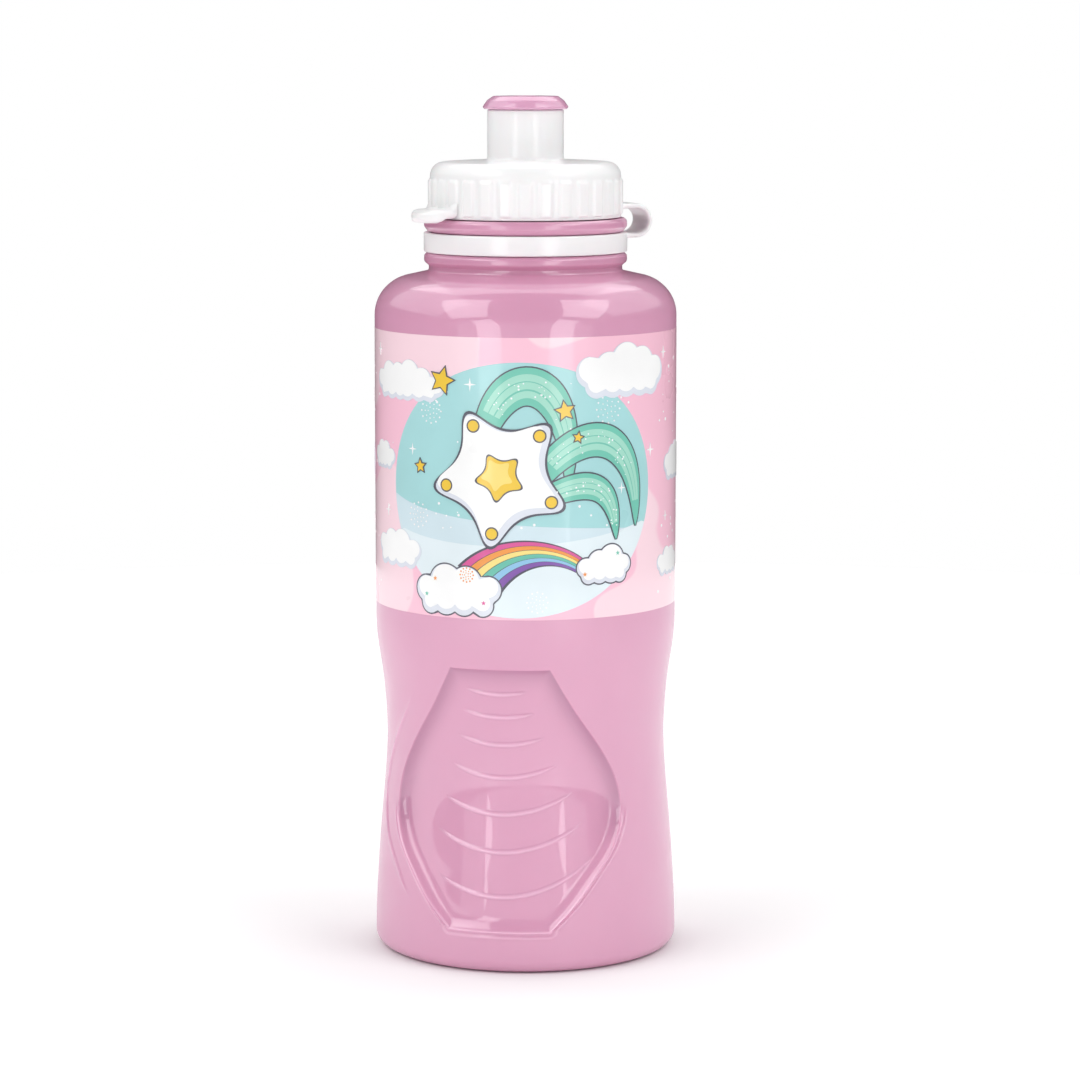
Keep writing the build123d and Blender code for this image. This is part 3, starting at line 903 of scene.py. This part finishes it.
def cloud_lumps(width, height, seed):
    """Round lumps for a cloud with a fairly level foot, a crown that bulges and thin ends."""
    rng = random.Random(seed)
    lumps = []
    count = round(width / height * 1.5) + 1
    for k in range(count):
        t = (k + 0.5) / count * 2 - 1
        crown = 1 - t * t
        radius = height * (0.2 + 0.16 * crown + rng.uniform(-0.03, 0.05))
        along = t * (width / 2 - 0.2 * height)
        lumps.append((along, height * (0.26 * crown - 0.12 + rng.uniform(-0.05, 0.05)), radius))
        along = along * 0.84 + rng.uniform(-0.4, 0.4)
        lumps.append((along, -height * 0.48 + radius * 0.82, radius * 0.82))
    return lumps


def star(s, z, radius, points=5, waist=0.45, turn=90.0, soft=0.0):
    """Star outline; soft above 0 rounds the tips and the waist."""
    corners = []
    for k in range(points * 2):
        a = math.radians(turn + 180 * k / points)
        r = radius if k % 2 == 0 else radius * waist
        corners.append((s + r * math.cos(a), z + r * math.sin(a)))
    if not soft:
        return corners
    outline = []
    n = len(corners)
    for k in range(n):
        before, here, after = Vector(corners[k - 1]), Vector(corners[k]), Vector(corners[(k + 1) % n])
        start, end = here.lerp(before, soft), here.lerp(after, soft)
        for i in range(9):
            t = i / 8
            p = start * (1 - t) ** 2 + here * 2 * t * (1 - t) + end * t * t
            outline.append((p.x, p.y))
    return outline


def bezier(points, count=28):
    """Points along a Bezier curve with any number of control points."""
    out = []
    for i in range(count + 1):
        t = i / count
        level = [Vector(p) for p in points]
        while len(level) > 1:
            level = [a.lerp(b, t) for a, b in zip(level, level[1:])]
        out.append(level[0])
    return out


def ribbon(points, width, grow=0.0, start=0.0, end=1.0, side=0.0):
    """Tapering swoosh along a Bezier curve, pointed at its far end; side shifts it within its width."""
    line = bezier(points, 40)
    low, high = int(start * 40), int(end * 40)
    left, right = [], []
    for i in range(low, high + 1):
        ahead = line[min(i + 1, 40)] - line[max(i - 1, 0)]
        across = Vector((-ahead.y, ahead.x)).normalized()
        t = i / 40
        half = width / 2 * (math.sin(math.pi * min(0.16 + 0.84 * t, 1.0)) ** 0.7) + grow
        middle = line[i] + across * side * (half - grow)
        half = half if side == 0 else half * 0.22
        left.append(middle + across * half)
        right.append(middle - across * half)
    return [(p.x, p.y) for p in left + list(reversed(right))]


def between(outer, inner, low, high):
    """Band between two curves, from low to high of the way from the outer one to the inner one."""
    first = [a.lerp(b, low) for a, b in zip(outer, inner)]
    second = [a.lerp(b, high) for a, b in zip(outer, inner)]
    return [(p.x, p.y) for p in first + list(reversed(second))]


INKS = {
    "white": (254, 254, 254),
    "cloud_shade": (226, 230, 240),
    "line": (92, 92, 104),
    "sky": (172, 221, 223),
    "sky_light": (192, 230, 231),
    "hill_far": (214, 233, 241),
    "hill_near": (232, 244, 249),
    "teal": (120, 202, 182),
    "teal_light": (168, 224, 206),
    "yellow": (244, 204, 74),
    "yellow_light": (252, 226, 128),
    "rainbow_pink": (222, 98, 160),
    "rainbow_orange": (243, 160, 84),
    "rainbow_cream": (250, 226, 140),
    "rainbow_green": (112, 196, 176),
    "rainbow_blue": (150, 200, 232),
    "rainbow_purple": (138, 96, 176),
}
RAINBOW = [name for name in INKS if name.startswith("rainbow_")]
OUTLINE = 0.3            # drawn line round a motif


def build_film():
    mid = (LABEL_Z0 + LABEL_Z1) / 2
    profile = [(BODY_R, mid), (BODY_R, LABEL_Z1), (BODY_R - FILM_T, LABEL_Z1),
               (BODY_R - FILM_T, LABEL_Z0), (BODY_R, LABEL_Z0)]
    sleeve = lathe("label_film", profile, film_background(), "bottle", segments=360)
    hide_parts("label_sleeve")


def build_label():
    """The whole print: front scene, back scene and what lies between them."""
    ink = {name: printed("ink_" + name, colour) for name, colour in INKS.items()}
    rng = random.Random(11)
    art = {}

    def draw(colour, layer, *outlines):
        art.setdefault((colour, layer), []).extend(outlines)

    def cloud(s, z, width, height, seed, layer, drawn=False):
        lumps = cloud_lumps(width, height, seed)
        if drawn:
            draw("line", layer, puffs(s, z, lumps, OUTLINE))
        draw("cloud_shade", layer + 1, puffs(s, z, lumps))
        upper = [(ls, lz + height * 0.05, lr - height * 0.055) for ls, lz, lr in lumps]
        draw("white", layer + 2, puffs(s, z, upper))

    def drawn_star(s, z, radius, layer, turn):
        draw("line", layer, star(s, z, radius + 0.5, waist=0.5, turn=turn))
        draw("yellow", layer + 1, star(s, z, radius, waist=0.48, turn=turn))

    def burst(s, z, radius, layer, colour):
        """Rings of small dots, like a tiny firework."""
        for ring, count in ((1.0, 12), (0.62, 9), (0.3, 5)):
            for k in range(count):
                a = TAU * (k + 0.5 * (ring < 0.9)) / count
                dot = 0.14 + 0.06 * (ring > 0.9)
                middle = (s + radius * ring * math.cos(a), z + radius * ring * math.sin(a))
                draw(colour, layer, ellipse(*middle, dot, dot, 8))

    def scatter(count, low_s, high_s, low_z, high_z, most=0.32):
        for _ in range(count):
            s, z = rng.uniform(low_s, high_s), rng.uniform(low_z, high_z)
            dot = rng.uniform(0.12, most)
            draw("white", 4, ellipse(s, z, dot, dot, 8))

    def roundel(s0):
        """Sky disc with hills, rainbow between two clouds, and a shooting star with ribbons."""
        def moved(points):
            return [(s0 + s, z) for s, z in points]

        disc_s, disc_z, half_s, half_z = -1.4, 104.6, 31.8, 27.2
        draw("sky", 1, moved(ellipse(disc_s, disc_z, half_s, half_z)))

        def on_disc(s, z):
            """The point in shares of the disc's half width and half height."""
            return Vector(((s - disc_s) / half_s, (z - disc_z) / half_z))

        for left, middle, right, colour, layer in (
            (102.5, 97.0, 95.4, "hill_far", 2), (96.0, 91.5, 97.5, "hill_near", 3),
        ):
            crest = bezier([(-33.0, left), (-18.0, middle), (8.0, middle), (30.2, right)], 30)
            inside = [(c.x, c.y) for c in crest if on_disc(c.x, c.y).length < 1]
            first, last = on_disc(*inside[-1]), on_disc(*inside[0])
            a0, a1 = math.atan2(first.y, first.x), math.atan2(last.y, last.x)
            while a1 > min(a0, 0):
                a1 -= TAU
            turns = spread(a0, a1, 60)
            arc = [(disc_s + half_s * math.cos(a), disc_z + half_z * math.sin(a)) for a in turns]
            draw(colour, layer, moved(inside + arc))
        # Rainbow
        outer = bezier([(-14.5, 88.0), (-6.0, 96.5), (8.0, 95.0), (14.5, 88.0)])
        inner = bezier([(-5.5, 83.0), (-1.0, 89.5), (6.0, 90.0), (11.0, 87.0)])
        draw("line", 4, moved(between(outer, inner, -0.05, 1.05)))
        for k, colour in enumerate(RAINBOW):
            draw(colour, 5, moved(between(outer, inner, k / 6 + 0.008, (k + 1) / 6 - 0.008)))
        # Ribbons, then the star over them
        ribbons = [
            ([(-9.0, 116.0), (-4.0, 134.0), (11.5, 129.0), (9.0, 104.5)], 8.0),
            ([(2.0, 106.0), (13.0, 122.0), (27.0, 116.0), (26.0, 96.0)], 7.0),
            ([(1.0, 101.5), (13.0, 108.0), (20.0, 107.0), (20.5, 93.5)], 5.5),
        ]
        for step, (points, width) in enumerate(ribbons):
            layer = 6 + 3 * step
            draw("line", layer, moved(ribbon(points, width, OUTLINE)))
            draw("teal", layer + 1, moved(ribbon(points, width)))
            for side in (-0.5, 0.05, 0.55):
                draw("teal_light", layer + 2, moved(ribbon(points, width * 0.85, 0.0, 0.1, 0.9, side)))
            line = bezier(points, 40)
            for _ in range(30):
                at_step = rng.randrange(6, 36)
                stray = Vector((rng.uniform(-1, 1), rng.uniform(-1, 1))) * width * 0.25
                q = line[at_step] + stray
                dot = rng.uniform(0.1, 0.24)
                draw("white", layer + 3, moved(ellipse(q.x, q.y, dot, dot, 6)))
        s1, z1, turn = -5.5, 107.5, 118
        for colour, layer, shift, radius, waist in (
            ("line", 15, 0, 17.55, 0.535), ("cloud_shade", 16, 0, 16.8, 0.53),
            ("white", 17, 0.6, 15.6, 0.53), ("line", 18, 0, 6.1, 0.56),
            ("yellow", 19, 0, 5.6, 0.56), ("yellow_light", 20, 0.5, 3.9, 0.56),
        ):
            points = star(s1 - shift, z1 + shift, radius, waist=waist, turn=turn, soft=0.4)
            draw(colour, layer, moved(points))
        for k in range(5):
            a = math.radians(turn + 72 * k)
            tip = (s1 + 12.2 * math.cos(a), z1 + 12.2 * math.sin(a))
            draw("line", 18, moved(ellipse(*tip, 1.45, 1.45, 40)))
            draw("yellow", 19, moved(ellipse(*tip, 1.15, 1.15, 40)))
        # Small stars, clouds at the rainbow's feet, bursts of dots
        for s, z, radius, turn in (
            (8.4, 121.5, 2.1, 100), (11.3, 115.8, 1.1, 80),
            (-18.6, 127.6, 2.9, 75), (-24.5, 109.0, 1.4, 95),
        ):
            drawn_star(s0 + s, z, radius, 15, turn)
        cloud(s0 - 15.4, 82.9, 24.0, 11.0, 3, 6, drawn=True)
        cloud(s0 + 17.8, 88.2, 15.6, 8.0, 4, 6, drawn=True)
        for s, z, radius, colour in (
            (-21.5, 121.0, 2.6, "white"), (18.5, 121.5, 2.9, "white"), (-25.2, 98.5, 2.6, "white"),
            (2.5, 80.8, 2.2, "white"), (-12.8, 86.4, 1.5, "rainbow_orange"),
        ):
            burst(s0 + s, z, radius, 9, colour)
        for s, z, colour in (
            (-20.5, 85.2, "rainbow_orange"), (-9.0, 80.5, "rainbow_pink"), (21.0, 90.6, "teal"),
            (-22.8, 81.7, "teal"), (12.9, 86.5, "rainbow_orange"),
        ):
            draw(colour, 9, moved(star(s, z, 0.55)))
        scatter(60, s0 - 24, s0 + 24, 96, 128)
        for s, z, radius in (
            (-12.0, 127.0, 1.5), (14.5, 118.0, 1.3), (22.0, 104.5, 1.2), (-27.0, 112.5, 1.3),
        ):
            draw("white", 5, moved(star(s, z, radius, points=4, waist=0.2)))

    roundel(0.0)
    roundel(LAP)
    # Clouds between the two discs, partly over their edges
    for lap in (0.0, LAP):
        for s, z, width, height, seed in (
            (-30.0, 126.8, 27.0, 8.6, 5), (23.3, 129.4, 27.5, 11.6, 6), (-39.0, 110.4, 13.0, 6.6, 7),
            (-33.0, 90.6, 20.0, 8.6, 8), (46.0, 108.5, 20.0, 8.5, 9), (40.5, 87.0, 15.0, 6.5, 10),
        ):
            cloud(lap + s, z, width, height, seed, 9)
        scatter(46, lap + 33, lap + 70, 79, 135, most=0.4)
        for s, z, radius in (
            (31.0, 112.0, 1.5), (36.5, 132.6, 1.3), (-36.5, 98.5, 1.3), (-41.0, 133.0, 1.4),
            (52.0, 122.0, 1.6), (38.0, 97.0, 1.1), (53.0, 95.0, 1.2),
        ):
            draw("white", 12, star(lap + s, z, radius, points=4, waist=0.2))
    for (colour, layer), outlines in art.items():
        skin(f"print_{colour}_{layer}", outlines, ink[colour], layer)


build_film()
build_label()

# ---- Floor, light, world -------------------------------------------------------------------------

FLOOR_R = 0.6
FLOOR_SIDES = 96


def build_stage():
    """Round pale floor with painted light: its own glow rises away from the bottle, so that it runs into
    the white, and is missing next to the base, which darkens the contact shadow there.
    """
    m = Nodes("pale_floor")
    dust = m.noise(9, detail=4)
    tint = m.ramp(dust, "Fac", [(0.3, grey(0.84)), (0.7, grey(0.87))])
    m.link(tint, "Color", m.shader, "Base Color")
    place = m.add("ShaderNodeTexCoord")
    reach = m.add("ShaderNodeVectorMath", operation="LENGTH")
    m.link(place, "Object", reach, 0)
    glow = m.ramp(reach, "Value", [
        (0.033, grey(0.0)), (0.036, grey(0.1)), (0.08, grey(0.18)), (FLOOR_R, grey(0.4)),
    ])
    m.link(glow, "Color", m.shader, "Emission Color")
    m.set(Roughness=0.7, Emission_Strength=1.0, Specular_IOR_Level=0.2)
    rim = [(s, t, 0) for s, t in ellipse(0, 0, FLOOR_R, FLOOR_R, FLOOR_SIDES)]
    mesh = bpy.data.meshes.new("floor")
    mesh.from_pydata(rim, [], [tuple(range(FLOOR_SIDES))])
    mesh.materials.append(m.material)
    floor = bpy.data.objects.new("floor", mesh)
    floor.location.z = -0.00005
    bpy.context.scene.collection.objects.link(floor)


def panel(name, azimuth, elevation, distance, width, height, radiance, roll=0.0):
    """Soft even light that faces the middle of the bottle, in metres and degrees.

    roll turns it in its own plane.
    """
    middle = Vector((0, 0, 0.1))
    a, e = math.radians(azimuth), math.radians(elevation)
    towards = Vector((math.sin(a) * math.cos(e), -math.cos(a) * math.cos(e), math.sin(e)))
    data = bpy.data.lights.new(name, "AREA")
    data.shape = "RECTANGLE"
    data.size, data.size_y = width, height
    data.energy = radiance * math.pi * width * height
    light = bpy.data.objects.new(name, data)
    light.location = middle + towards * distance
    tilt = Matrix.Rotation(math.pi / 2 - e, 3, "X") @ Matrix.Rotation(math.radians(roll), 3, "Z")
    light.rotation_euler = (Matrix.Rotation(a, 3, "Z") @ tilt).to_euler()
    light.visible_camera = False
    bpy.context.scene.collection.objects.link(light)


WINDOW = 2.75            # radiance of the panes, on a scale where 1 shows as white


def window(side):
    """A low and a tall pane with a bar between them, mirrored by the gloss; the top leans outwards."""
    panel(f"low_pane_{side}", side * 28.7, 4, 0.6, 0.17, 0.22, WINDOW, roll=side * -24)
    panel(f"tall_pane_{side}", side * 53.6, 38.8, 1.0, 0.55, 0.86, WINDOW, roll=side * -26)


def build_light():
    """White behind everything, seen by the camera alone, and soft panels round the bottle."""
    world = bpy.data.worlds.new("studio")
    bpy.context.scene.world = world
    world.use_nodes = True
    background = world.node_tree.nodes["Background"]
    background.inputs["Color"].default_value = (1, 1, 1, 1)
    background.inputs["Strength"].default_value = 1.0
    seen = world.cycles_visibility
    seen.diffuse = seen.glossy = seen.transmission = seen.scatter = False
    panel("top_back", 180, 62, 1.5, 1.8, 1.3, 1.9)
    panel("left_side", -102, 38, 1.6, 2.0, 1.3, 1.1)
    panel("right_side", 102, 38, 1.6, 2.0, 1.3, 1.1)
    # Fading strips above the floor's near edge, so that the gloss shows no line there
    for elevation, radiance in ((-5.0, 0.8), (-0.5, 0.55), (4.0, 0.33), (8.5, 0.15)):
        panel(f"front_haze_{elevation}", 0, elevation, 1.0, 2.6, 0.08, radiance)
    window(-1)
    window(1)
    view = bpy.context.scene.view_settings
    view.view_transform = "Standard"
    view.look = "None"


build_stage()
build_light()
